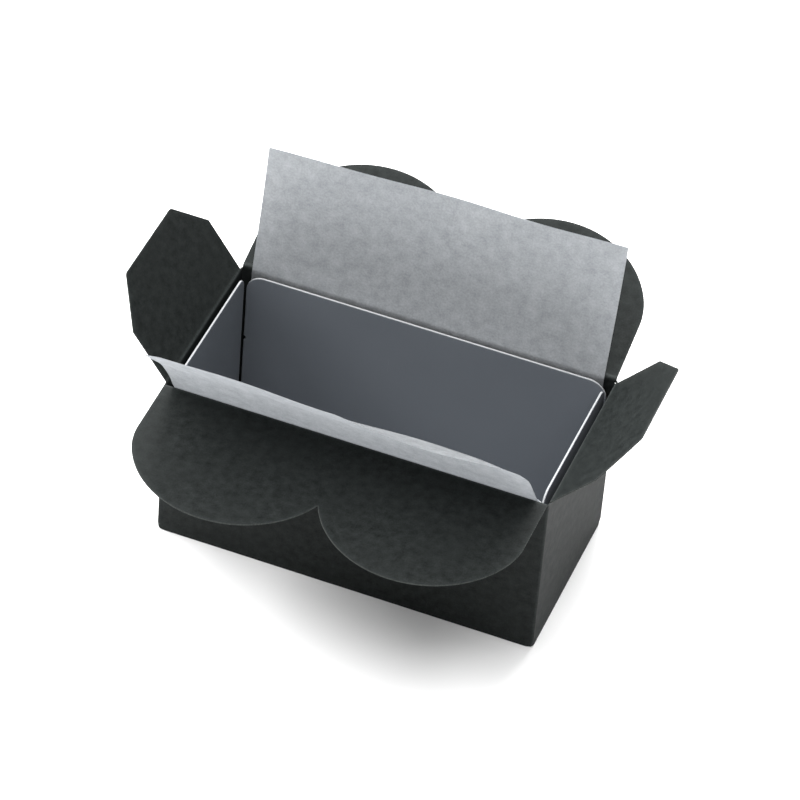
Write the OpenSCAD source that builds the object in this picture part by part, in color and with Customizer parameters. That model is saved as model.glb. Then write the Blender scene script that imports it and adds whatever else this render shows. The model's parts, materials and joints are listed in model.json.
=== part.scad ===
// Folding presentation carton with a scalloped lid, a loose board tray and a tissue wrap.
// Millimetres, +Z up. The origin is the centre of the base's underside, +X runs along the
// long side and +Y towards the back wall. The flaps and leaves are drawn open.

/* [Carton] */
// Outside length, along X
carton_w = 105; // [90:1:120]
// Outside depth, along Y
carton_d = 52; // [50:1:60]
// Height of the crease that each side tab folds on
rim_h = 50; // [35:1:80]
// Thickness of the black card
card_t = 0.35; // [0.25:0.05:0.4]

/* [Lid flaps] */
// Length of the front and back flaps, crease to crown
flap_l = 41; // [38:0.5:44]
// Depth of the notch between the two scallops
notch_depth = 16.5; // [12:0.5:20]
// Opening angle of the front flap, from upright
front_open = 91; // [0:1:107]
// Opening angle of the back flap, from upright
back_open = 72; // [0:1:102]

/* [Side tabs] */
// Length of each side tab
tab_l = 28; // [20:0.5:40]
// Length of its straight sides, up to the corner cuts
tab_side_l = 16.5; // [8:0.5:19]
// Width of its free end
tab_end_w = 28.5; // [12:0.5:40]
// Opening angle of the left tab, from upright
left_open = 36; // [0:1:170]
// Opening angle of the right tab, from upright
right_open = 42; // [0:1:170]

/* [Tray] */
// Thickness of the tray's grey board
board_t = 0.6; // [0.4:0.1:0.6]
// Gap between the tray and each side wall
tray_clear = 0.95; // [0.5:0.05:3]
// Radius of the panels' upper corners
corner_r = 5; // [2:0.5:10]
// Inward lean of the right panel
right_lean = 1.3; // [0:0.1:5]

/* [Tissue] */
// How much shorter than the carton the tissue is, at each side
tissue_inset = 3.5; // [2:0.5:20]
// Thickness that stands for the thin tissue
tissue_t = 0.08; // [0.05:0.01:0.08]
// Length of each tissue leaf
leaf_l = 38.5; // [20:0.5:45]
// Outward lean of the front leaf
front_lean = 37; // [0:1:45]
// Outward lean of the back leaf
back_lean = 12.5; // [0:0.5:30]

/* [Hidden] */
$fn = 96;

card_colour = "#2b2f2f";
board_colour = "#62666e";
tissue_colour = "#b9bec2";

// Sides of the box, as the turn about +Z that brings the front side round to each
FRONT = 0;
RIGHT = 90;
BACK = 180;
LEFT = 270;

half_w = carton_w / 2;
half_d = carton_d / 2;
in_w = half_w - card_t;
in_d = half_d - card_t;

// Clearances: between layers that rest on each other, between layers that slide past each
// other, between the tissue and the tray that stands in it, and for the front leaf to sag in
rest_gap = 0.02;
air = 0.04;
tissue_air = 0.07;
sag_air = 0.17;

// A flap turns about its wall's outer edge. Its outer face runs this far from the axis
fold_gap = 0.03;
// and its crease edge starts this far along
crease_l = 0.2;
// A thinner lip carries the crease bead on top of the wall
bead_r = 0.15;
// A tissue leaf's crease is finer
leaf_gap = 0.01;
leaf_crease_l = 0.1;

// Closed, the layers lie flat on each other, so each crease is one layer above the last:
// tray, front leaf, back leaf, side tabs, front flap and back flap.
side_axis = rim_h;
front_axis = side_axis + card_t + air;
back_axis = front_axis + card_t + air;
back_leaf_axis = side_axis - fold_gap - card_t - air + leaf_gap;
front_leaf_axis = back_leaf_axis - tissue_t - air;
tray_top = front_leaf_axis - leaf_gap - tissue_t - sag_air;

// Each leaf's crease stands in from the wall, so that it can lean out over the rim
front_leaf_inset = 1.35;
back_leaf_inset = 1;
front_leaf_y = half_d - front_leaf_inset;
back_leaf_y = half_d - back_leaf_inset;

// The snap-lock bottom: front flap outermost, then the side flaps, the back flap, and the
// front flap's tongue on top, in a notch of the back flap
bottom_side_z = card_t;
bottom_back_z = 2 * card_t;
tongue_z = 3 * card_t;
bottom_side_gap = 0.2;
bottom_end_gap = 0.3;
bottom_w = 2 * (in_w - bottom_side_gap);
bottom_front_l = 30;
tongue_w = 36;
tongue_l = 10;

// The tissue lies on the bottom and the tray on the tissue
tissue_z = 4 * card_t + rest_gap;
tray_z = tissue_z + tissue_t + rest_gap;
tissue_w = carton_w - 2 * tissue_inset;
tray_w = 2 * (in_w - tray_clear);
tray_front_y = front_leaf_y - tissue_t - tissue_air;
tray_back_y = back_leaf_y - tissue_t - tissue_air;
panel_z = tray_z + board_t;
panel_h = tray_top - panel_z;

// Clearance at each end of a lid flap's and a side tab's crease
flap_clear = 0.3;
tab_clear = 1.5;
flap_w = carton_w - 2 * flap_clear;
tab_w = carton_d - 2 * tab_clear;

// Each scallop's circle touches the flap's end, meets the other at the notch and swells this
// far past the flap's straight sides, which fixes its radius
lobe_swell = 0.84;
lobe_reach = flap_w / 2 + lobe_swell;
lobe_r = lobe_reach + notch_depth - sqrt(2 * lobe_reach * notch_depth);
lobe_y = flap_l - lobe_r;
lobe_x = lobe_reach - lobe_r;

function arc(x, y, r, from, to, steps = 8) =
    [for (i = [0:steps]) let (a = from + (to - from) * i / steps) [x + r * cos(a), y + r * sin(a)]];

// Moves what is drawn in a flap's own plane, with x along the crease and y away from it,
// to the crease on that side of the box
module hinged(side, out, z, open) {
    rotate([0, 0, side])
        translate([0, -out, z])
            rotate([90 + open, 0, 0])
                children();
}

module card_plate() {
    translate([0, 0, -fold_gap - card_t])
        linear_extrude(card_t)
            children();
}

module tissue_plate() {
    translate([0, 0, -leaf_gap - tissue_t])
        linear_extrude(tissue_t)
            children();
}

// One carton wall with its crease lip and bead. The axis of the bead is the hinge's
module wall(side, out, length, axis_z) {
    shoulder = axis_z - fold_gap - card_t - rest_gap;
    rotate([0, 0, side])
        translate([-length / 2, -out, 0]) {
            cube([length, card_t, shoulder]);
            cube([length, bead_r, axis_z]);
            translate([0, 0, axis_z])
                rotate([0, 90, 0])
                    cylinder(r = bead_r, h = length);
        }
}

module front_wall() {
    color(card_colour)
        wall(FRONT, half_d, carton_w, front_axis);
}

module back_wall() {
    color(card_colour)
        wall(BACK, half_d, carton_w, back_axis);
}

module left_wall() {
    color(card_colour)
        wall(LEFT, half_w, 2 * in_d, side_axis);
}

module right_wall() {
    color(card_colour)
        wall(RIGHT, half_w, 2 * in_d, side_axis);
}

// Tapered strip of the back wall, glued inside the right wall
module glue_seam_flap() {
    seam_w = 12;
    taper = 3;
    foot = 2;
    head = rim_h - 4;
    color(card_colour)
        translate([in_w, in_d, 0])
            rotate([90, 0, -90])
                linear_extrude(card_t)
                    polygon([[0, foot], [seam_w, foot + taper], [seam_w, head - taper], [0, head]]);
}

// Outermost bottom flap. Its tongue steps up through the other layers
module bottom_front_flap() {
    root_y = bottom_front_l - in_d;
    tip_y = root_y + tongue_l;
    step_y = root_y + tongue_l / 2;
    // The tongue starts this far inside the flap, so that the two are one piece
    overlap = 0.1;
    joined_y = root_y - overlap;
    color(card_colour) {
        translate([-bottom_w / 2, -in_d, 0])
            cube([bottom_w, bottom_front_l, card_t]);
        translate([-tongue_w / 2, 0, 0])
            rotate([90, 0, 90])
                linear_extrude(tongue_w)
                    polygon([
                        [joined_y, 0], [root_y, 0], [step_y, tongue_z], [tip_y, tongue_z],
                        [tip_y, tongue_z + card_t], [step_y - overlap, tongue_z + card_t], [joined_y, card_t]
                    ]);
    }
}

// Inner bottom flap, notched where the tongue comes up
module bottom_back_flap() {
    length = 27.5;
    notch_w = tongue_w + 4;
    notch_l = 12;
    front_y = in_d - length;
    color(card_colour)
        translate([0, 0, bottom_back_z])
            linear_extrude(card_t)
                polygon([
                    [-bottom_w / 2, in_d], [-bottom_w / 2, front_y],
                    [-notch_w / 2, front_y], [-notch_w / 2, front_y + notch_l],
                    [notch_w / 2, front_y + notch_l], [notch_w / 2, front_y],
                    [bottom_w / 2, front_y], [bottom_w / 2, in_d]
                ]);
}

// Side bottom flap, cut back at its corners to clear the tongue's step
module bottom_side_flap() {
    length = 28;
    cut = 8;
    edge_y = in_d - bottom_end_gap;
    color(card_colour)
        translate([-in_w, 0, bottom_side_z])
            linear_extrude(card_t)
                polygon([
                    [0, -edge_y], [0, edge_y], [length - cut, edge_y], [length, edge_y - cut],
                    [length, cut - in_d / 2], [length / 3, -edge_y]
                ]);
}

module bottom_left_flap() {
    bottom_side_flap();
}

module bottom_right_flap() {
    mirror([1, 0, 0])
        bottom_side_flap();
}

// Two scallops that meet at a notch, on a straight-sided root
module scallop_outline() {
    intersection() {
        translate([-flap_w / 2, crease_l])
            square([flap_w, flap_l]);
        union() {
            translate([-flap_w / 2, 0])
                square([flap_w, lobe_y]);
            for (side = [-1, 1])
                translate([side * lobe_x, lobe_y])
                    circle(lobe_r);
        }
    }
}

module front_scallop_flap() {
    color(card_colour)
        hinged(FRONT, half_d, front_axis, front_open)
            card_plate()
                scallop_outline();
}

module back_scallop_flap() {
    color(card_colour)
        hinged(BACK, half_d, back_axis, back_open)
            card_plate()
                scallop_outline();
}

// Tab with cut corners, rounded a little where each cut meets the free end
module tab_outline() {
    round_r = 2;
    cut_angle = atan2(tab_l - tab_side_l, (tab_w - tab_end_w) / 2);
    reach = round_r * tan(cut_angle / 2);
    end_x = tab_end_w / 2 - reach;
    polygon(concat(
        [[-tab_w / 2, crease_l], [tab_w / 2, crease_l], [tab_w / 2, tab_side_l]],
        arc(end_x, tab_l - round_r, round_r, 90 - cut_angle, 90),
        arc(-end_x, tab_l - round_r, round_r, 90, 90 + cut_angle),
        [[-tab_w / 2, tab_side_l]]
    ));
}

module left_tab_flap() {
    color(card_colour)
        hinged(LEFT, half_w, side_axis, left_open)
            card_plate()
                tab_outline();
}

module right_tab_flap() {
    color(card_colour)
        hinged(RIGHT, half_w, side_axis, right_open)
            card_plate()
                tab_outline();
}

// Panel with rounded upper corners, standing on its lower edge
module panel_outline(width, height) {
    translate([-width / 2, 0])
        square([width, height - corner_r]);
    translate([corner_r - width / 2, 0])
        square([width - 2 * corner_r, height]);
    for (side = [-1, 1])
        translate([side * (width / 2 - corner_r), height - corner_r])
            circle(corner_r);
}

module tray_base() {
    color(board_colour)
        translate([-tray_w / 2, -tray_front_y, tray_z])
            cube([tray_w, tray_front_y + tray_back_y, board_t]);
}

module tray_front_panel() {
    color(board_colour)
        translate([0, board_t - tray_front_y, panel_z])
            rotate([90, 0, 0])
                linear_extrude(board_t)
                    panel_outline(tray_w, panel_h);
}

// Second thickness of the front panel, turned down inside it
module tray_front_hem() {
    hem_l = 30;
    hem_w = tray_w - 2;
    color(board_colour)
        translate([0, 2 * board_t + air - tray_front_y, tray_top - air - hem_l])
            rotate([90, 0, 0])
                linear_extrude(board_t)
                    panel_outline(hem_w, hem_l);
}

// Back panel, with a small nick in its left edge
module tray_back_panel() {
    nick = 1.2;
    nick_z = panel_h - 20;
    color(board_colour)
        translate([0, tray_back_y, panel_z])
            rotate([90, 0, 0])
                linear_extrude(board_t)
                    difference() {
                        panel_outline(tray_w, panel_h);
                        translate([-tray_w / 2, nick_z])
                            rotate(45)
                                square(nick, center = true);
                    }
}

// Side panel, leaning in about its inner lower edge. A slit parts it from the back panel
module tray_side_panel(side, lean) {
    slit = 1;
    fold_x = tray_w / 2 - board_t;
    fold_z = panel_z + fold_gap;
    front_y = 2 * board_t + 2 * air - tray_front_y;
    back_y = tray_back_y - board_t - slit;
    outer_x = side > 0 ? board_t : 0;
    color(board_colour)
        translate([side * fold_x, (front_y + back_y) / 2, fold_z])
            rotate([0, -side * lean, 0])
                translate([outer_x, 0, fold_gap])
                    rotate([90, 0, -90])
                        linear_extrude(board_t)
                            panel_outline(back_y - front_y, tray_top - fold_z - fold_gap);
}

module tray_left_panel() {
    tray_side_panel(-1, 0);
}

module tray_right_panel() {
    tray_side_panel(1, right_lean);
}

module tissue_base() {
    color(tissue_colour)
        translate([-tissue_w / 2, tissue_t - front_leaf_y, tissue_z])
            cube([tissue_w, front_leaf_y + back_leaf_y - 2 * tissue_t, tissue_t]);
}

// Tissue between the tray and a carton wall, up to just under its leaf's crease
module tissue_run(side, out, axis_z) {
    top_z = axis_z - tissue_t - 2 * leaf_gap;
    color(tissue_colour)
        rotate([0, 0, side])
            translate([-tissue_w / 2, -out, tissue_z])
                cube([tissue_w, tissue_t, top_z - tissue_z]);
}

module tissue_front_run() {
    tissue_run(FRONT, front_leaf_y, front_leaf_axis);
}

module tissue_back_run() {
    tissue_run(BACK, back_leaf_y, back_leaf_axis);
}

module leaf_outline() {
    translate([-tissue_w / 2, leaf_crease_l])
        square([tissue_w, leaf_l - leaf_crease_l]);
}

module tissue_front_leaf() {
    color(tissue_colour)
        hinged(FRONT, front_leaf_y, front_leaf_axis, front_lean)
            tissue_plate()
                leaf_outline();
}

module tissue_back_leaf() {
    color(tissue_colour)
        hinged(BACK, back_leaf_y, back_leaf_axis, back_lean)
            tissue_plate()
                leaf_outline();
}

front_wall();
back_wall();
left_wall();
right_wall();
glue_seam_flap();
bottom_front_flap();
bottom_back_flap();
bottom_left_flap();
bottom_right_flap();
front_scallop_flap();
back_scallop_flap();
left_tab_flap();
right_tab_flap();
tray_base();
tray_front_panel();
tray_front_hem();
tray_back_panel();
tray_left_panel();
tray_right_panel();
tissue_base();
tissue_front_run();
tissue_back_run();
tissue_front_leaf();
tissue_back_leaf();
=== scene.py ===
"""Looks for the folding presentation carton: black card, a grey board tray and white tissue.

Metres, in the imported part's frame: the origin is the centre of the base's underside, +X runs
along the long side, +Y from the front wall to the back wall, +Z up.

Every piece is a thin closed sheet, drawn flat in (u, v) metres and then placed by a function
that folds it: u runs along the crease and v up the wall and out along the flap.
"""

import json
import math

import bpy
import numpy as np
from mathutils import Matrix, Vector
from mathutils.geometry import delaunay_2d_cdt


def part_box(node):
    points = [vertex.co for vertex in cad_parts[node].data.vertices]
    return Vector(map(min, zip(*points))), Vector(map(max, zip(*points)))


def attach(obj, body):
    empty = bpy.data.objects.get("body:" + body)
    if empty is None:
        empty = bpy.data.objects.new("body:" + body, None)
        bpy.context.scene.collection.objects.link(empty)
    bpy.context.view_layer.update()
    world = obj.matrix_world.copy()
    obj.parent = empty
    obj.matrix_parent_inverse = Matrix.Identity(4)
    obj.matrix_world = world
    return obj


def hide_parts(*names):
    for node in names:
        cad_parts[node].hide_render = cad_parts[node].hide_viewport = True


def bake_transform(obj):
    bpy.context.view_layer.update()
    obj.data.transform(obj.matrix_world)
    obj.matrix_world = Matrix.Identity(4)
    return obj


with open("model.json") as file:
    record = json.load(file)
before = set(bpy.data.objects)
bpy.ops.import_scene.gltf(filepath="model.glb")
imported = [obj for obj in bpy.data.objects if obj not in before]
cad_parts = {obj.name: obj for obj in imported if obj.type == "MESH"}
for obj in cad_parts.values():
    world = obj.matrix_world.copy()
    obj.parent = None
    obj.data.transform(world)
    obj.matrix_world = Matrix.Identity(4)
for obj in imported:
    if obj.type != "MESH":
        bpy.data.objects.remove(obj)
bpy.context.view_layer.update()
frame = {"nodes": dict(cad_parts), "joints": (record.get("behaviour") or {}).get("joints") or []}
MM = 0.001

# ---------------------------------------------------------------- sizes, from the CAD frame

joints = {j["name"]: j for j in frame["joints"]}
front_lo, front_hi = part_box("front_wall")
half_w, half_d = front_hi.x, -front_lo.y
side_flap_lo, side_flap_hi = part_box("bottom_left_flap")
card_t = side_flap_hi.z - side_flap_lo.z
base_lo, base_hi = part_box("tray_base")
board_t = base_hi.z - base_lo.z
tissue_lo, tissue_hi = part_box("tissue_base")
tray_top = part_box("tray_back_panel")[1].z
flap_half_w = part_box("front_scallop_flap")[1].x
tab_half_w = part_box("left_tab_flap")[1].y
tissue_half_w = tissue_hi.x

# Cut shapes, as in the part: distances from the crease along the flap
FLAP_L = 41 * MM
NOTCH_DEPTH = 16.5 * MM
LOBE_SWELL = 0.84 * MM
TAB_L = 28 * MM
TAB_SIDE_L = 16.5 * MM
TAB_END_HALF_W = 14.25 * MM
LEAF_L = 38.5 * MM
CORNER_R = 5 * MM
HEM_L = 30 * MM
FOLD_GAP = 0.03 * MM

# Opening angles of the flaps from upright, and the lean of the tray's right panel
FRONT_OPEN = math.radians(91)
BACK_OPEN = math.radians(72)
LEFT_OPEN = math.radians(36)
RIGHT_OPEN = math.radians(42)
RIGHT_LEAN = math.radians(1.3)

# A flap's piece takes in this much of its wall, so that the crease is one bent sheet
ROOT = 1.2 * MM
CARD_FOLD_R = 0.5 * MM
BOARD_FOLD_R = 0.5 * MM
TISSUE_FOLD_R = 0.6 * MM
TISSUE_T = 0.05 * MM

# A sheet's mesh: the width of its cut edge's bevel, a strip of small faces along its edge, the
# clear distance from there to the even grid, and the play when edges and joins are compared
CARD_BEVEL = 0.1 * MM
BOARD_BEVEL = 0.11 * MM
TISSUE_BEVEL = 0.01 * MM
NO_BEVEL = 0.002 * MM
EDGE_STRIP = 0.45 * MM
EDGE_CLEAR = 0.3 * MM
GRID_CLEAR = 0.75 * MM
SHORTEST = 0.03 * MM
PLAY = 0.01 * MM
FOLD_STEP = 0.09 * MM
# Paler band beside open cut edges: partly rubbing, partly painted highlight where the cut edge
# catches light
EDGE_WEAR_AND_HIGHLIGHT = 0.5
EDGE_WEAR_AND_HIGHLIGHT_REACH = 0.3 * MM
FAR = 1.0

# ---------------------------------------------------------------- flat outlines


def rounded(corners, spacing=0.35 * MM):
    """A counterclockwise outline from (u, v, radius) corners, each turned into an arc."""
    points = []
    for i, (x, y, r) in enumerate(corners):
        here = np.array([x, y])
        if r <= 0:
            points.append((x, y))
            continue
        before = np.array(corners[i - 1][:2]) - here
        after = np.array(corners[(i + 1) % len(corners)][:2]) - here
        before, after = before / np.linalg.norm(before), after / np.linalg.norm(after)
        half = math.acos(np.clip(before @ after, -1, 1)) / 2
        middle = (before + after) / np.linalg.norm(before + after)
        centre = here + middle * r / math.sin(half)
        start = before * r / math.tan(half) + here - centre
        end = after * r / math.tan(half) + here - centre
        a0, a1 = math.atan2(start[1], start[0]), math.atan2(end[1], end[0])
        turn = (a1 - a0 + math.pi) % (2 * math.pi) - math.pi
        steps = max(3, math.ceil(abs(turn) * r / spacing))
        for k in range(steps + 1):
            a = a0 + turn * k / steps
            points.append((centre[0] + r * math.cos(a), centre[1] + r * math.sin(a)))
    return points


def arc(x, y, r, start, end, steps):
    """Points on an arc, with angles in radians."""
    turns = [start + (end - start) * k / steps for k in range(steps + 1)]
    return [(x + r * math.cos(a), y + r * math.sin(a)) for a in turns]


def scallops(shift):
    """Two scallops that meet at a small relief notch, on a straight-sided root. A side eases into
    its scallop over a wide arc."""
    reach = flap_half_w + LOBE_SWELL
    r = reach + NOTCH_DEPTH - math.sqrt(2 * reach * NOTCH_DEPTH)
    x, y = reach - r, FLAP_L - r + shift
    ease_r = 20 * MM
    ease_x = flap_half_w - ease_r
    side = math.acos((ease_x - x) / (r - ease_r))
    ease_y = y + (r - ease_r) * math.sin(side)
    relief = 0.35 * MM
    notch = math.pi - math.acos((x - relief) / r)
    right = arc(ease_x, ease_y, ease_r, 0, side, 16)[:-1] + arc(x, y, r, side, notch, 70)
    left = [(-u, v) for u, v in reversed(right)]
    cusp = arc(0, right[-1][1] - relief * 0.4, relief, 0, -math.pi, 6)
    root = [(-flap_half_w, -ROOT), (flap_half_w, -ROOT)]
    return root + right + cusp[1:-1] + left


def cut_tab(shift):
    """A tab with cut corners, on a root."""
    side_r, end_r = 0.5 * MM, 1.6 * MM
    return rounded(
        [
            (-tab_half_w, -ROOT, 0),
            (tab_half_w, -ROOT, 0),
            (tab_half_w, TAB_SIDE_L + shift, side_r),
            (TAB_END_HALF_W, TAB_L + shift, end_r),
            (-TAB_END_HALF_W, TAB_L + shift, end_r),
            (-tab_half_w, TAB_SIDE_L + shift, side_r),
        ]
    )


# ---------------------------------------------------------------- sheets


def cut_ring(outline, columns, rows, step):
    """The outline with points added where it crosses a column or a row, and every step."""
    points = []
    for a, b in zip(outline, outline[1:] + outline[:1]):
        a, b = np.array(a), np.array(b)
        length = np.linalg.norm(b - a)
        if length < 1e-7:
            continue
        count = max(1, math.ceil(length / step))
        cuts = [k / count for k in range(count)]
        for axis, crossed in ((0, columns), (1, rows)):
            if abs(b[axis] - a[axis]) > 1e-9:
                ts = (np.array(crossed) - a[axis]) / (b[axis] - a[axis])
                cuts += [t for t in ts if 0 < t < 1]
        last = -1.0
        for t in sorted(cuts):
            if (t - last) * length > SHORTEST and (t == 0 or (1 - t) * length > SHORTEST):
                points.append(a + (b - a) * t)
                last = t
    return np.array(points)


def inset(ring, by):
    """The ring moved inwards by that much at each point, and by less at a sharp corner."""
    ahead, behind = np.roll(ring, -1, 0) - ring, ring - np.roll(ring, 1, 0)
    ahead /= np.linalg.norm(ahead, axis=1)[:, None]
    behind /= np.linalg.norm(behind, axis=1)[:, None]
    inwards = np.stack([-(ahead + behind)[:, 1], (ahead + behind)[:, 0]], axis=1)
    size = np.maximum(np.linalg.norm(inwards, axis=1), 0.7)
    return ring + inwards / size[:, None] ** 2 * 2 * np.reshape(by, (-1, 1))


def distance(points, ring, kept=None):
    """Distance from each point to the closed ring, or to those of its edges that are kept, and
    FAR where none is."""
    a, b = ring, np.roll(ring, -1, 0)
    if kept is not None:
        a, b = a[kept], b[kept]
    best = np.full(len(points), FAR)
    for p, q in zip(a, b):
        d = q - p
        t = np.clip(((points - p) @ d) / (d @ d), 0, 1)
        best = np.minimum(best, np.linalg.norm(points - p - t[:, None] * d, axis=1))
    return best


def inside(points, ring):
    """True for each point that lies inside the closed ring."""
    odd = np.zeros(len(points), bool)
    for (x0, y0), (x1, y1) in zip(ring, np.roll(ring, -1, 0)):
        if y0 != y1:
            crosses = (points[:, 1] > y0) != (points[:, 1] > y1)
            odd ^= crosses & (points[:, 0] < (x1 - x0) * (points[:, 1] - y0) / (y1 - y0) + x0)
    return odd


def lines(low, high, step, *dense):
    """Even steps from low to high, with each (from, to, step) range of dense ones in place."""
    values = list(np.arange(low + step / 2, high, step))
    for start, end, fine in dense:
        values = [x for x in values if not start - fine < x < end + fine]
        values += list(np.linspace(start, end, max(2, round((end - start) / fine) + 1)))
    return sorted(x for x in values if low < x < high)


def make_sheet(name, outline, place, thick, surfaces, joined, step=1.5 * MM, columns=(), rows=(),
               bevel=CARD_BEVEL, trim=None, painted_highlight=None, chamfer=(2, 2, 2)):
    """A closed sheet of that thickness. surfaces are its outer, inner and cut-edge materials, and
    chamfer says which of the three the outer bevel, the cut edge and the inner bevel take.

    columns and rows are (from, to, step) ranges where the mesh is finer. joined(u, v) is true
    along an edge that meets another piece, which is neither bevelled nor given the paler edge
    band. trim(u, v) is how far the outer face is drawn in, and painted_highlight(u, v) is extra
    painted highlight, along a crease."""
    low, high = np.min(outline, axis=0), np.max(outline, axis=0)
    columns = lines(low[0], high[0], step, *columns)
    rows = lines(low[1], high[1], step, *rows)
    outer = cut_ring(outline, columns, rows, step)
    middle = (outer + np.roll(outer, -1, 0)) / 2
    open_edge = ~joined(middle[:, 0], middle[:, 1])
    open_point = open_edge & np.roll(open_edge, 1)
    inner = inset(outer, np.where(open_point, bevel, NO_BEVEL))
    near = inset(outer, EDGE_STRIP)
    grid = np.array([(u, v) for v in rows for u in columns])
    grid = grid[inside(grid, inner)]
    grid = grid[distance(grid, outer) > GRID_CLEAR]
    near = near[inside(near, inner)]
    near = near[distance(near, outer) > EDGE_CLEAR]
    points = [Vector(p) for p in np.concatenate([inner, near, grid]) / MM]
    made = delaunay_2d_cdt(points, [], [list(range(len(inner)))], 1, 1e-6)
    flat, triangles, origins = np.array(made[0]) * MM, made[2], made[3]
    ring_at = {i: new for new, old in enumerate(origins) for i in old if i < len(inner)}
    ring = [ring_at[i] for i in range(len(inner))]

    top, normal = place(flat[:, 0], flat[:, 1])
    rim, rim_normal = place(outer[:, 0], outer[:, 1])
    cut = (trim(flat[:, 0], flat[:, 1]) if trim else np.zeros(len(flat)))[:, None]
    rim_cut = (trim(outer[:, 0], outer[:, 1]) if trim else np.zeros(len(outer)))[:, None]
    half = thick / 2
    flank = np.where(open_point, half - bevel, half - NO_BEVEL)[:, None]
    layers = [
        top + normal * (half - cut),
        top - normal * half,
        rim + rim_normal * np.maximum(flank - rim_cut, -flank + PLAY),
        rim - rim_normal * flank,
    ]
    n, m = len(flat), len(outer)
    faces = [tuple(t) for t in triangles]
    faces += [tuple(n + i for i in reversed(t)) for t in triangles]
    kinds = [0] * len(triangles) + [1] * len(triangles)
    upper, lower = 2 * n, 2 * n + m
    sharp = set()
    for i in range(m):
        j = (i + 1) % m
        faces.append((ring[i], upper + i, upper + j, ring[j]))
        faces.append((upper + i, lower + i, lower + j, upper + j))
        faces.append((lower + i, n + ring[i], n + ring[j], lower + j))
        kinds += chamfer
        sharp.add(tuple(sorted((ring[i], ring[j]))))
        sharp.add(tuple(sorted((n + ring[i], n + ring[j]))))
    mesh = bpy.data.meshes.new(name)
    mesh.from_pydata(np.concatenate(layers).tolist(), [], faces)
    mesh.polygons.foreach_set("material_index", kinds)
    mesh.polygons.foreach_set("use_smooth", [True] * len(faces))
    for surface in surfaces:
        mesh.materials.append(surface)
    for edge in mesh.edges:
        edge.use_edge_sharp = tuple(sorted(edge.vertices)) in sharp
    plan = np.concatenate([flat, flat, outer, outer])
    uv = mesh.uv_layers.new(name="Sheet")
    index = np.zeros(len(mesh.loops), int)
    mesh.loops.foreach_get("vertex_index", index)
    uv.data.foreach_set("uv", plan[index].astype(np.float32).ravel())
    # Paler band beside open cut edges, partly rubbing and partly painted highlight, and painted
    # highlights along creases
    wear_and_highlight = EDGE_WEAR_AND_HIGHLIGHT * np.exp(-distance(plan, outer, open_edge) / EDGE_WEAR_AND_HIGHLIGHT_REACH)
    if painted_highlight is not None:
        wear_and_highlight = np.maximum(wear_and_highlight, painted_highlight(plan[:, 0], plan[:, 1]))
    value = mesh.attributes.new("wear_and_highlight", "FLOAT", "POINT").data
    value.foreach_set("value", wear_and_highlight.astype(np.float32))
    mesh.validate()
    piece = bpy.data.objects.new(name, mesh)
    bpy.context.scene.collection.objects.link(piece)
    return piece


def folded(side, out, up, lean, v_from, v_to, centre=0.0):
    """place(u, v) for a sheet that sets off from (out, up) at v_from and leans out from upright
    by lean(u, v). out is measured towards that side of the box, and u along it from centre."""
    outward = np.array([*SIDES[side], 0.0])
    along = np.array([-outward[1], outward[0], 0.0])
    steps = np.linspace(v_from, v_to, 1601)

    def place(u, v):
        columns, index = np.unique(np.round(u, 6), return_inverse=True)
        shape = len(columns), len(steps)
        leans = np.broadcast_to(lean(columns[:, None], steps[None, :]), shape)
        at = np.clip((v - v_from) / (v_to - v_from), 0, 1) * (len(steps) - 1)
        low = np.minimum(at.astype(int), len(steps) - 2)
        part = at - low

        def run(values):
            """The sum of values over v, up to each point."""
            areas = (values[:, 1:] + values[:, :-1]) / 2 * np.diff(steps)
            total = np.concatenate([np.zeros((len(columns), 1)), np.cumsum(areas, axis=1)], axis=1)
            return total[index, low] * (1 - part) + total[index, low + 1] * part

        here = leans[index, low] * (1 - part) + leans[index, low + 1] * part
        spot = np.outer(u + centre, along)
        spot += np.outer(out + run(np.sin(leans)), outward)
        spot[:, 2] += up + run(np.cos(leans))
        normal = np.outer(np.cos(here), outward)
        normal[:, 2] -= np.sin(here)
        return spot, normal

    return place


def ramp(v, start, end):
    """0 before start, 1 after end, and straight between."""
    return np.clip((v - start) / (end - start), 0, 1)


def ease(v, start, end):
    """0 before start, 1 after end, and a smooth step between."""
    t = ramp(v, start, end)
    return t * t * (3 - 2 * t)


SIDES = {"front": (0, -1), "right": (1, 0), "back": (0, 1), "left": (-1, 0)}


class Crease:
    """The bend between a wall and the flap that opens by turn from it, about a joint's axis.
    v is 0 at the axis's height, and shift is what a distance along the flap gains in v."""

    def __init__(self, side, joint, turn, thick, radius):
        self.side, self.turn = side, turn
        self.axis = Vector(joints[joint]["pos_m"])
        self.radius = radius
        self.out = self.axis.x * SIDES[side][0] + self.axis.y * SIDES[side][1]
        offset = FOLD_GAP + thick / 2
        self.wall = -thick / 2
        back = (offset * math.cos(turn) - thick / 2) / math.sin(turn)
        meet = offset * math.sin(turn) + back * math.cos(turn)
        tangent = radius * math.tan(turn / 2)
        self.start = meet - tangent
        self.end = self.start + radius * turn
        self.shift = self.end - back - tangent

    def lean(self, extra):
        """The lean over the crease, and extra(u, v) beyond it."""
        def at(u, v):
            bend = self.turn * ramp(v, self.start, self.end)
            return bend + extra(u, v) * ease(v, self.end, self.end + 2 * MM)

        return at

    def blend(self, piece, wall_body, flap_body):
        """Bakes the piece's transform into its mesh, which is already bent over the crease;
        wall_body and flap_body are not used.
        """
        across = Vector((*SIDES[self.side], 0)) * math.sin(self.turn / 2)
        across.z = math.cos(self.turn / 2)
        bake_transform(piece)


# ---------------------------------------------------------------- materials


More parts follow.
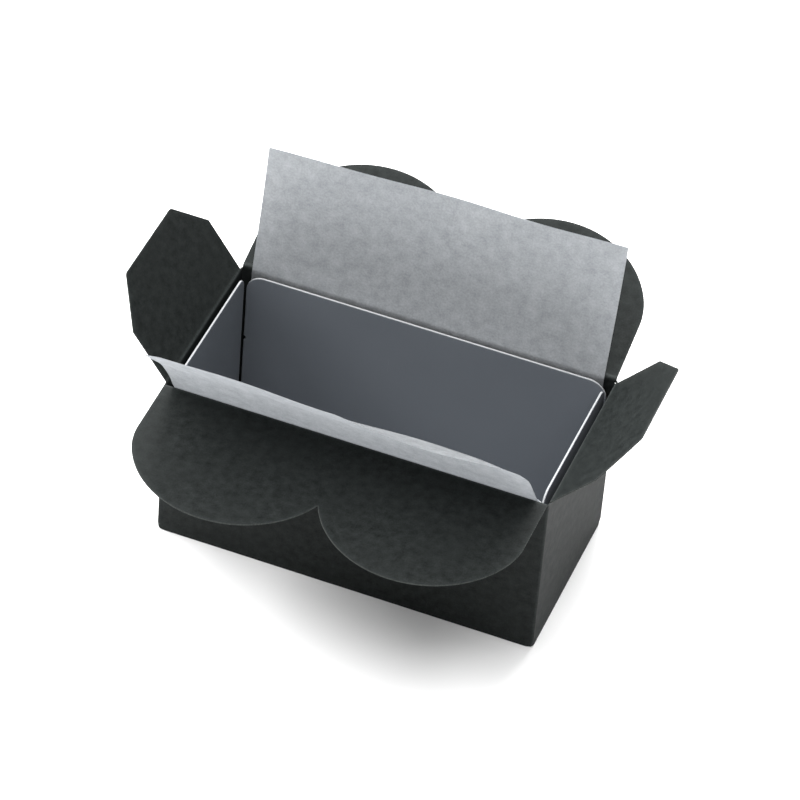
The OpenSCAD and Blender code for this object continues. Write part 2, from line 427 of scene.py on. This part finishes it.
class Graph:
    """A material built from nodes. add() takes socket values, or sockets to link."""

    def __init__(self, name):
        self.material = bpy.data.materials.new(name)
        self.material.use_nodes = True
        self.tree = self.material.node_tree
        self.tree.nodes.clear()

    def add(self, kind, inputs=None, **settings):
        """A new node with those settings and inputs."""
        node = self.tree.nodes.new(kind)
        for key, value in settings.items():
            setattr(node, key, value)
        for key, value in (inputs or {}).items():
            if isinstance(value, bpy.types.NodeSocket):
                self.tree.links.new(value, node.inputs[key])
            else:
                node.inputs[key].default_value = value
        return node

    def where(self, on_sheet):
        """Coordinates in metres: on the flat sheet, or in the object for a CAD node."""
        if on_sheet:
            return self.add("ShaderNodeUVMap", uv_map="Sheet").outputs[0]
        return self.add("ShaderNodeTexCoord").outputs["Object"]

    def noise(self, where, size, detail=2.0, rough=0.5, stretch=(1, 1, 1)):
        """Noise whose blotches are about size across."""
        scale = [s / size for s in stretch]
        moved = self.add("ShaderNodeMapping", {"Vector": where, "Scale": scale})
        texture = self.add("ShaderNodeTexNoise", {
            "Vector": moved.outputs[0], "Scale": 1.0, "Detail": detail, "Roughness": rough})
        return texture.outputs["Fac"]

    def math(self, operation, a, b):
        return self.add("ShaderNodeMath", {0: a, 1: b}, operation=operation).outputs[0]

    def mixed(self, a, share, b):
        """a and b added up, with that share of a."""
        return self.math("ADD", self.math("MULTIPLY", a, share),
                         self.math("MULTIPLY", b, 1 - share))

    def spread(self, value, low, high, to_low=0.0, to_high=1.0):
        """The value from low to high, stretched from to_low to to_high."""
        node = self.add("ShaderNodeMapRange", {
            "Value": value, "From Min": low, "From Max": high,
            "To Min": to_low, "To Max": to_high})
        return node.outputs[0]

    def blend(self, share, a, b):
        """Colour a, turning to b as share goes from 0 to 1."""
        return self.add("ShaderNodeMix", {0: share, 6: a, 7: b}, data_type="RGBA").outputs[2]

    def bump(self, height, strength, depth):
        node = self.add("ShaderNodeBump", {
            "Height": height, "Strength": strength, "Distance": depth})
        return node.outputs[0]

    def surface(self, colour, roughness, gloss, normal):
        """The shader, where gloss is its specular level."""
        node = self.add("ShaderNodeBsdfPrincipled", {
            "Base Color": colour, "Roughness": roughness, "Specular IOR Level": gloss,
            "Normal": normal})
        return node.outputs[0]

    def wear_and_highlight(self):
        """The rubbed and painted-highlight share of the surface, which make_sheet writes."""
        return self.add("ShaderNodeAttribute", attribute_name="wear_and_highlight").outputs["Fac"]

    def finish(self, shader):
        self.add("ShaderNodeOutputMaterial", {"Surface": shader})
        return self.material


def rgb(r, g, b):
    return (r, g, b, 1.0)


def black_card(name, on_sheet=True, edge=False):
    """Dyed-through black card: mottled felt-like fibre, paler at its raw cut edges, partly rubbed
    and partly painted highlight beside them, and painted highlight along its creases.
    """
    g = Graph(name)
    at = g.where(on_sheet)
    broad = g.noise(at, 16 * MM, 2)
    mottle = g.noise(at, 2.4 * MM, 4, 0.62)
    fibre = g.noise(at, 0.55 * MM, 3, 0.65, (1.5, 1, 1))
    tone = g.spread(g.mixed(mottle, 0.62, fibre), 0.32, 0.68)
    colour = g.blend(tone, rgb(0.0042, 0.0053, 0.0051), rgb(0.0215, 0.0247, 0.0240))
    colour = g.blend(g.spread(broad, 0.35, 0.65, 0.0, 0.35), colour, rgb(0.0130, 0.0150, 0.0146))
    if edge:
        colour = g.blend(g.spread(fibre, 0.3, 0.7),
                         rgb(0.024, 0.027, 0.026), rgb(0.048, 0.052, 0.050))
    elif on_sheet:
        # Paler beside the cut edges, partly rubbing and partly painted highlight, and a painted
        # highlight along the creases
        rubbed_and_highlight = g.math("MULTIPLY", g.wear_and_highlight(), g.spread(fibre, 0.3, 0.7, 0.25, 0.75))
        colour = g.blend(rubbed_and_highlight, colour, rgb(0.070, 0.078, 0.077))
    height = g.mixed(mottle, 0.6, fibre)
    rough = g.spread(mottle, 0.3, 0.7, 0.50, 0.62)
    return g.finish(g.surface(colour, rough, 0.06, g.bump(height, 0.35, 0.06 * MM)))


def grey_board(name):
    """Smooth blue-grey lining of the tray's board, with a few fine scuffs."""
    g = Graph(name)
    at = g.where(True)
    cloud = g.noise(at, 22 * MM, 3)
    grain = g.noise(at, 0.5 * MM, 3, 0.6)
    colour = g.blend(cloud, rgb(0.118, 0.131, 0.149), rgb(0.136, 0.149, 0.167))
    colour = g.blend(g.spread(grain, 0.3, 0.7, 0.0, 0.10), colour, rgb(0.20, 0.21, 0.225))
    scuff = g.noise(at, 2.2 * MM, 4, 0.7, (1, 0.12, 1))
    colour = g.blend(g.spread(scuff, 0.66, 0.78, 0.0, 0.25), colour, rgb(0.215, 0.225, 0.24))
    # Paler band beside the cut edges: partly rubbing, partly painted highlight
    colour = g.blend(g.math("MULTIPLY", g.wear_and_highlight(), 0.35), colour, rgb(0.28, 0.29, 0.30))
    rough = g.spread(grain, 0.3, 0.7, 0.46, 0.54)
    return g.finish(g.surface(colour, rough, 0.4, g.bump(grain, 0.25, 0.02 * MM)))


def board_core(name):
    """White pulp at the board's cut edges."""
    g = Graph(name)
    pulp = g.noise(g.where(True), 0.4 * MM, 3, 0.6)
    colour = g.blend(pulp, rgb(0.34, 0.35, 0.36), rgb(0.45, 0.455, 0.46))
    return g.finish(g.surface(colour, 0.85, 0.25, g.bump(pulp, 0.3, 0.04 * MM)))


def white_tissue(name):
    """Thin translucent tissue, cloudy and speckled where the fibre is uneven, which lets through
    more light where it is thin."""
    g = Graph(name)
    at = g.where(True)
    cloud = g.noise(at, 3.2 * MM, 4, 0.62)
    speck = g.noise(at, 0.55 * MM, 3, 0.7)
    fibre = g.spread(g.mixed(cloud, 0.5, speck), 0.36, 0.64)
    colour = g.blend(fibre, rgb(0.345, 0.358, 0.372), rgb(0.485, 0.498, 0.512))
    paper = g.surface(colour, 0.62, 0.3, g.bump(fibre, 0.3, 0.03 * MM))
    through = g.add("ShaderNodeBsdfTranslucent", {"Color": colour})
    share = g.spread(fibre, 0.0, 1.0, 0.80, 0.74)
    sheet = g.add("ShaderNodeMixShader", {0: share, 1: paper, 2: through.outputs[0]})
    clear = g.add("ShaderNodeBsdfTransparent")
    open_weave = g.spread(fibre, 0.0, 1.0, 0.12, 0.06)
    seen = g.add("ShaderNodeMixShader", {0: open_weave, 1: sheet.outputs[0], 2: clear.outputs[0]})
    return g.finish(seen.outputs[0])


def floor_paper(name):
    """The studio's plain pale floor."""
    g = Graph(name)
    shader = g.add("ShaderNodeBsdfPrincipled", {
        "Base Color": rgb(0.98, 0.98, 0.98), "Roughness": 0.9, "Specular IOR Level": 0.1})
    return g.finish(shader.outputs[0])


card = black_card("black_card")
card_edge = black_card("black_card_edge", edge=True)
card_plain = black_card("black_card_flat", on_sheet=False)
board = grey_board("grey_board")
core = board_core("board_core")
tissue = white_tissue("white_tissue")
CARD = (card, card, card_edge)
BOARD = (board, board, core)
TISSUE = (tissue, tissue, tissue)

# ---------------------------------------------------------------- carton

FRONT = Crease("front", "front_flap_fold", FRONT_OPEN, card_t, CARD_FOLD_R)
BACK = Crease("back", "back_flap_fold", BACK_OPEN, card_t, CARD_FOLD_R)
LEFT = Crease("left", "left_tab_fold", LEFT_OPEN, card_t, CARD_FOLD_R)
RIGHT = Crease("right", "right_tab_fold", RIGHT_OPEN, card_t, CARD_FOLD_R)


def walk(corners, radius):
    """A rounded polyline in plan: its points, the way on at each, and its length up to each."""
    points = [np.array(corners[0])]
    for before, here, after in zip(corners, corners[1:], corners[2:]):
        before, here, after = (np.array(p) for p in (before, here, after))
        back, on = before - here, after - here
        back, on = back / np.linalg.norm(back), on / np.linalg.norm(on)
        centre = here + (back + on) * radius
        a0 = math.atan2(*(here + back * radius - centre)[::-1])
        a1 = math.atan2(*(here + on * radius - centre)[::-1])
        turn = (a1 - a0 + math.pi) % (2 * math.pi) - math.pi
        for k in range(13):
            a = a0 + turn * k / 12
            points.append(centre + radius * np.array([math.cos(a), math.sin(a)]))
    points = np.array(points + [np.array(corners[-1])])
    lengths = np.concatenate([[0], np.cumsum(np.linalg.norm(np.diff(points, axis=0), axis=1))])
    ways = np.gradient(points, lengths, axis=0)
    return points, ways / np.linalg.norm(ways, axis=1)[:, None], lengths


def wall_band():
    """The four walls and the glue seam: one strip of card, creased at the box's corners."""
    x, y = half_w - card_t / 2, half_d - card_t / 2
    seam = x - card_t
    seam_l = 12 * MM
    bend = 0.36 * MM
    points, ways, lengths = walk(
        [(seam, y - seam_l), (seam, y), (-x, y), (-x, -y), (x, -y), (x, half_d - 0.08 * MM)], bend)

    def along(px, py):
        return lengths[np.argmin(np.linalg.norm(points - np.array([px, py]), axis=1))]

    def place(s, z):
        spot = np.stack([np.interp(s, lengths, points[:, k]) for k in (0, 1)] + [z], axis=1)
        way = np.stack([np.interp(s, lengths, ways[:, k]) for k in (0, 1)], axis=1)
        way /= np.linalg.norm(way, axis=1)[:, None]
        return spot, np.stack([way[:, 1], -way[:, 0], 0 * z], axis=1)

    corners = [along(seam, y - bend), along(-x + bend, y),
               along(-x, -y + bend), along(x - bend, -y)]
    ends = [c + bend * math.pi / 2 for c in corners]
    total = lengths[-1]
    walls = {
        "back": ((ends[0] + corners[1]) / 2 + card_t / 2, BACK, flap_half_w),
        "left": ((ends[1] + corners[2]) / 2, LEFT, tab_half_w),
        "front": ((ends[2] + corners[3]) / 2, FRONT, flap_half_w),
        "right": (ends[3] + y - bend, RIGHT, tab_half_w),
    }
    top = joints["left_tab_fold"]["pos_m"][2] + 0.12 * MM
    slack = 0.02 * MM
    outline = [(0, 5 * MM), (corners[0], 2 * MM), (ends[0], 0), (total, 0), (total, top)]
    for side in ("right", "front", "left", "back"):
        middle, crease, half = walls[side]
        foot = crease.axis.z - ROOT
        outline += [(middle + half, top), (middle + half, foot),
                    (middle - half, foot), (middle - half, top)]
    outline += [(ends[0], top), (corners[0], top - 4 * MM), (0, top - 7 * MM)]

    def joined(s, z):
        found = np.zeros(len(s), bool)
        for middle, crease, half in walls.values():
            found |= (np.abs(s - middle) < half + slack) & (z > crease.axis.z - ROOT - slack)
        return found

    def trim(s, z):
        """The rounded lower edge."""
        r = 0.16 * MM
        t = np.clip(z / r, 0, 1)
        return np.where(s > ends[0], r - np.sqrt(np.maximum(r**2 - (r - t * r) ** 2, 0)), 0)

    dense = [(c - 0.1 * MM, e + 0.1 * MM, 0.08 * MM) for c, e in zip(corners, ends)]

    def painted_highlight(s, z):
        """A faint painted highlight down the rounded corner creases."""
        middles = [(c + e) / 2 for c, e in zip(corners, ends)]
        return 0.28 * np.max([np.exp(-(((s - m) / (0.3 * MM)) ** 2)) for m in middles], axis=0)

    piece = make_sheet("carton_walls", outline, place, card_t, CARD, columns=dense,
                       rows=[(0.04 * MM, 0.30 * MM, 0.05 * MM)], joined=joined, trim=trim,
                       painted_highlight=painted_highlight)
    soften_corners(piece)
    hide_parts("front_wall", "back_wall", "left_wall", "right_wall", "glue_seam_flap")
    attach(piece, "carton")


def soften_corners(piece):
    """The box's lower corners, pressed in a little where three creases meet."""
    co = np.array([v.co for v in piece.data.vertices])
    reach = 2.0 * MM
    push = 0.45 * MM
    sideways = 0.7
    near = np.clip(1 - (half_w - np.abs(co[:, 0])) / reach, 0, 1)
    near *= np.clip(1 - (half_d - np.abs(co[:, 1])) / reach, 0, 1)
    near *= np.clip(1 - co[:, 2] / reach, 0, 1)
    amount = near**2 * push
    co[:, :2] -= np.sign(co[:, :2]) * amount[:, None] * sideways
    co[:, 2] += amount
    piece.data.vertices.foreach_set("co", co.ravel())
    piece.data.update()


def card_flap(name, node, crease, outline, body, curl):
    """A flap and the strip of wall that it folds from, as one bent sheet."""
    reach = max(v for _, v in outline)
    place = folded(crease.side, crease.out + crease.wall, crease.axis.z - ROOT,
                   crease.lean(curl), -ROOT, reach + 1 * MM)
    fold = (crease.start - 0.1 * MM, crease.end + 0.1 * MM, 0.07 * MM)

    def joined(u, v):
        return v < crease.start * 0.2

    # A painted highlight along the rounded crease, where its fold would catch light
    def painted_highlight(u, v):
        return 0.8 * np.exp(-(((v - (crease.start + crease.end) / 2) / (0.6 * MM)) ** 2))

    piece = make_sheet(name, outline, place, card_t, CARD, rows=[fold], joined=joined, painted_highlight=painted_highlight)
    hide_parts(node)
    crease.blend(piece, "carton", body)


def waves(*terms):
    """A gentle bend: the sum of a sin(u / lu + v / lv + p), from terms of a degrees, lengths lu
    and lv in mm and a phase p."""
    def at(u, v):
        return sum(math.radians(a) * np.sin(u / (lu * MM) + v / (lv * MM) + p)
                   for a, lu, lv, p in terms)

    return at


wall_band()
card_flap("front_lid_flap", "front_scallop_flap", FRONT, scallops(FRONT.shift), "front_flap",
          waves((0.10, 21, 30, 0.4)))
card_flap("back_lid_flap", "back_scallop_flap", BACK, scallops(BACK.shift), "back_flap",
          waves((0.10, 24, 28, 1.1)))
card_flap("left_side_tab", "left_tab_flap", LEFT, cut_tab(LEFT.shift), "left_tab",
          waves((0.15, 15, 19, 0.9)))
card_flap("right_side_tab", "right_tab_flap", RIGHT, cut_tab(RIGHT.shift), "right_tab",
          waves((0.15, 16, 18, 2.4)))
for node in ("bottom_front_flap", "bottom_back_flap", "bottom_left_flap", "bottom_right_flap"):
    mesh = frame["nodes"][node].data
    mesh.materials.clear()
    mesh.materials.append(card_plain)

# ---------------------------------------------------------------- tray


def tray_body():
    """Hem, front panel, base and back panel: one strip of board."""
    half = base_hi.x
    front = -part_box("tray_front_panel")[0].y - board_t / 2
    hem = -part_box("tray_front_hem")[0].y - board_t / 2
    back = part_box("tray_back_panel")[1].y - board_t / 2
    floor = (base_lo.z + base_hi.z) / 2
    lip_r = (front - hem) / 2
    fold_r = BOARD_FOLD_R
    rise = tray_top - board_t / 2 - lip_r - 0.04 * MM
    turn = fold_r * math.pi / 2
    v_lip = HEM_L - board_t
    v_panel = v_lip + lip_r * math.pi
    v_foot = v_panel + rise - floor - fold_r
    v_base = v_foot + turn
    v_heel = v_base + front + back - 2 * fold_r
    v_back = v_heel + turn
    v_end = v_back + tray_top - floor - fold_r

    def lean(u, v):
        bends = 2 * ramp(v, v_lip, v_panel) + ramp(v, v_foot, v_base) + ramp(v, v_heel, v_back)
        return math.pi / 2 * bends

    place = folded("front", hem, rise - v_lip, lean, 0, v_end + 1 * MM)
    r = CORNER_R
    inset_w = 1 * MM
    side_lo, side_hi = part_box("tray_left_panel")
    slit = 0.1 * MM
    open_from = v_base + (side_lo.y - (-front + fold_r)) - slit
    open_to = v_base + (side_hi.y - (-front + fold_r)) + slit
    neck = half - 1.6 * MM
    back_half = half - 0.9 * MM
    v_mid = (v_lip + v_panel) / 2
    lip_gap = 0.4 * MM
    c = 1.4 * MM
    quarter = math.pi / 2

    right = rounded([(0, 0, 0), (half - inset_w, 0, 1 * MM), (half - inset_w, v_mid, 0)])[1:-1]
    right += arc(half - inset_w - c, v_mid - lip_gap - c, c, 0, quarter, 6)
    right += arc(half - c, v_mid + lip_gap + c, c, -quarter, 0, 6)
    right += [(half, open_from), (neck, open_from), (neck, open_to), (back_half, open_to)]
    right += arc(back_half - r, v_end - r, r, 0, quarter, 14)
    left = [(-u, v) for u, v in reversed(right)]

    # A small nick in the back panel's left edge
    nick_v = v_back + 25 * MM
    nick = 0.8 * MM
    split = next(i for i, (_, v) in enumerate(left) if v < nick_v)
    left[split:split] = [(-back_half, nick_v + nick), (-back_half + nick, nick_v),
                         (-back_half, nick_v - nick)]
    rows = [(v_lip, v_panel, FOLD_STEP), (v_foot, v_base, FOLD_STEP), (v_heel, v_back, FOLD_STEP)]

    def joined(u, v):
        return (np.abs(u) < half - PLAY) & (v > open_from - PLAY) & (v < open_to + PLAY)

    piece = make_sheet("tray_body", right + left, place, board_t, BOARD, rows=rows,
                       bevel=BOARD_BEVEL, joined=joined, chamfer=(0, 2, 1))
    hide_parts("tray_base", "tray_front_panel", "tray_front_hem", "tray_back_panel")
    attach(piece, "tray")


def tray_side(side, node, joint, inward):
    """A side panel, leaning in by inward, and the strip of base that it folds from."""
    axis = Vector(joints[joint]["pos_m"])
    floor = (base_lo.z + base_hi.z) / 2
    out = abs(axis.x) + board_t / 2 - 0.05 * MM
    r = BOARD_FOLD_R
    start = base_hi.x - 1.6 * MM
    strip = out - r - start
    v_up = strip + r * math.pi / 2
    lo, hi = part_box(node)
    height = hi.z - floor - r
    middle, half = (lo.y + hi.y) / 2, (hi.y - lo.y) / 2

    def lean(u, v):
        return math.pi / 2 - (math.pi / 2 + inward) * ramp(v, strip, v_up)

    sign = 1 if side == "right" else -1
    place = folded(side, start, floor, lean, 0, v_up + height + 1 * MM, centre=sign * middle)
    v_end = v_up + height
    front_r = 3 * MM
    ahead, behind = (front_r, CORNER_R) if side == "right" else (CORNER_R, front_r)
    outline = rounded([(-half, 0, 0), (half, 0, 0), (half, v_end, ahead), (-half, v_end, behind)])

    def joined(u, v):
        return v < PLAY

    piece = make_sheet(node.replace("_panel", "_side"), outline, place, board_t, BOARD,
                       rows=[(strip, v_up, FOLD_STEP)], bevel=BOARD_BEVEL, joined=joined,
                       chamfer=(0, 2, 1))
    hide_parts(node)
    axis.y = 0
    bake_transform(piece)


tray_body()
tray_side("left", "tray_left_panel", "tray_left_fold", 0)
tray_side("right", "tray_right_panel", "tray_right_fold", RIGHT_LEAN)

# ---------------------------------------------------------------- tissue


def tissue_half(side, name, nodes, joint, leaf_lean, outline_top):
    """Half of the tissue: from the middle of the base, up the wall and out along a leaf."""
    axis = Vector(joints[joint]["pos_m"])
    out = abs(axis.y) - (tissue_hi.z - tissue_lo.z) / 2
    floor = (tissue_lo.z + tissue_hi.z) / 2
    r = TISSUE_FOLD_R
    flat_l = out - r
    bend_l = r * math.pi / 2
    run_l = axis.z - floor - r
    v0 = -(flat_l + bend_l + run_l)
    fold = (v0 + flat_l, v0 + flat_l + bend_l)

    def lean(u, v):
        bend = math.pi / 2 * (1 - ramp(v, *fold))
        return bend + leaf_lean(u, v) * ease(v, -0.1 * MM, 0.5 * MM)

    place = folded(side, 0, floor, lean, v0, LEAF_L + 3 * MM)
    half = tissue_half_w
    outline = [(-half, v0), (half, v0)] + outline_top(half)

    def joined(u, v):
        return v < v0 + PLAY

    piece = make_sheet(name, outline, place, TISSUE_T, TISSUE, step=1.2 * MM,
                       rows=[(*fold, 0.12 * MM), (-0.2 * MM, 0.6 * MM, 0.1 * MM)],
                       bevel=TISSUE_BEVEL, joined=joined)
    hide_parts(*nodes)
    mean = leaf_lean(np.array([0.0]), np.array([3 * MM]))[0]
    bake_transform(piece)


def front_lean(u, v):
    """The front leaf stands up and leans out over the rim. Its free edge rolls forward right of
    the middle, and its left end curls. root, low, high and tip are its leans in degrees, from the
    rim to the free edge."""
    right = (u / tissue_half_w + 1) / 2
    roll = np.sin(math.pi * ramp(u, 2 * MM, 48.5 * MM))
    root = 36.5
    low = 31.5 - 2 * roll + 2 * ease(u, 36 * MM, 49 * MM)
    high = 41.5 - 1.5 * roll + 1.5 * right
    tip = high + 20 * roll
    bend = root + (low - root) * ease(v, 1.6 * MM, 4 * MM)
    bend = bend + (high - low) * ease(v, 14 * MM, 22 * MM)
    bend = bend + (tip - high) * ease(v, 27.5 * MM, 32 * MM)

    left_end = 1 - ease(u, -49 * MM, -44.5 * MM)
    curl_in = 7 * ease(v, 1.2 * MM, 2.4 * MM) * (1 - ease(v, 4 * MM, 9 * MM))
    curl_out = 2 * ease(v, 8 * MM, 14 * MM)
    bend = bend + left_end * (curl_out - curl_in)
    return np.radians(bend) + waves((0.4, 11, 24, 0.5), (0.2, 6, 40, 1.7))(u, v)


def back_lean(u, v):
    """The back leaf leans back, with slow waves along it."""
    bend = 12 + 1.5 * np.sin(v / (9 * MM) + 0.4)
    return np.radians(bend) + waves((0.9, 14, 18, 0.0), (0.5, 7, 25, 1.0))(u, v)


def front_leaf_top(half):
    """The front leaf's free edge, from its cut-back right corner to its left one."""
    return [(half + 0.2 * MM, LEAF_L - 7 * MM), (half - 1.6 * MM, LEAF_L - 5 * MM),
            (half - 2.8 * MM, LEAF_L - 2.6 * MM), (half - 4.6 * MM, LEAF_L - 0.4 * MM),
            (-half - 1.5 * MM, LEAF_L + 0.3 * MM)]


def back_leaf_top(half):
    """The back leaf's free edge, from right to left."""
    return [(half + 0.4 * MM, LEAF_L - 0.8 * MM), (-half, LEAF_L + 1.2 * MM)]


tissue_half("front", "tissue_front", ["tissue_base", "tissue_front_run", "tissue_front_leaf"],
            "front_leaf_fold", front_lean, front_leaf_top)
tissue_half("back", "tissue_back", ["tissue_back_run", "tissue_back_leaf"],
            "back_leaf_fold", back_lean, back_leaf_top)

# ---------------------------------------------------------------- stage, light, camera


def stage_floor():
    """A wide floor, just under the box's base."""
    size = 4.0
    mesh = bpy.data.meshes.new("floor")
    corners = [(-size, -size, 0), (size, -size, 0), (size, size, 0), (-size, size, 0)]
    mesh.from_pydata(corners, [], [(0, 1, 2, 3)])
    mesh.materials.append(floor_paper("floor_paper"))
    floor = bpy.data.objects.new("floor", mesh)
    floor.location.z = -0.02 * MM
    bpy.context.scene.collection.objects.link(floor)


def look_at(thing, aim, azimuth, elevation, distance, roll=0.0):
    """Puts a lamp or camera at that distance from aim, facing it, with angles in degrees.
    Azimuth 0 is in front of the box, and 90 to its right."""
    a, e = math.radians(azimuth), math.radians(elevation)
    back = Vector((math.sin(a) * math.cos(e), -math.cos(a) * math.cos(e), math.sin(e)))
    turn = Matrix.Rotation(math.radians(roll), 4, "Z").to_quaternion()
    thing.location = aim + back * distance
    thing.rotation_mode = "QUATERNION"
    thing.rotation_quaternion = back.to_track_quat("Z", "Y") @ turn
    bpy.context.scene.collection.objects.link(thing)


def soft_light(name, azimuth, elevation, distance, size, power):
    """A square soft box of that size in metres and power in watts, aimed at the box."""
    data = bpy.data.lights.new(name, "AREA")
    data.shape = "SQUARE"
    data.size, data.energy = size, power
    lamp = bpy.data.objects.new(name, data)
    look_at(lamp, Vector((0, 0, 0.04)), azimuth, elevation, distance)


def camera():
    """A long lens from the front right and above, a little rolled."""
    data = bpy.data.cameras.new("camera")
    data.lens, data.sensor_width = 225, 36
    data.clip_start, data.clip_end = 0.05, 50
    cam = bpy.data.objects.new("camera", data)
    look_at(cam, Vector((-0.0045, 0.0218, 0.0247)), 18.05, 42.03, 1.315, roll=4.98)
    bpy.context.scene.camera = cam


stage_floor()
soft_light("key", -66, 42, 1.1, 0.4, 8)
soft_light("top", 0, 84, 1.4, 1.6, 14)
soft_light("rear", -175, 38, 1.3, 0.9, 27)
soft_light("left", -115, 45, 1.3, 0.9, 18)
soft_light("front", 20, 68, 1.4, 1.5, 16)
world = bpy.data.worlds.new("studio")
bpy.context.scene.world = world
world.use_nodes = True
background = world.node_tree.nodes["Background"]
background.inputs["Color"].default_value = rgb(1, 1, 1)
background.inputs["Strength"].default_value = 0.22
bpy.context.scene.view_settings.view_transform = "Standard"
camera()

bpy.context.view_layer.update()
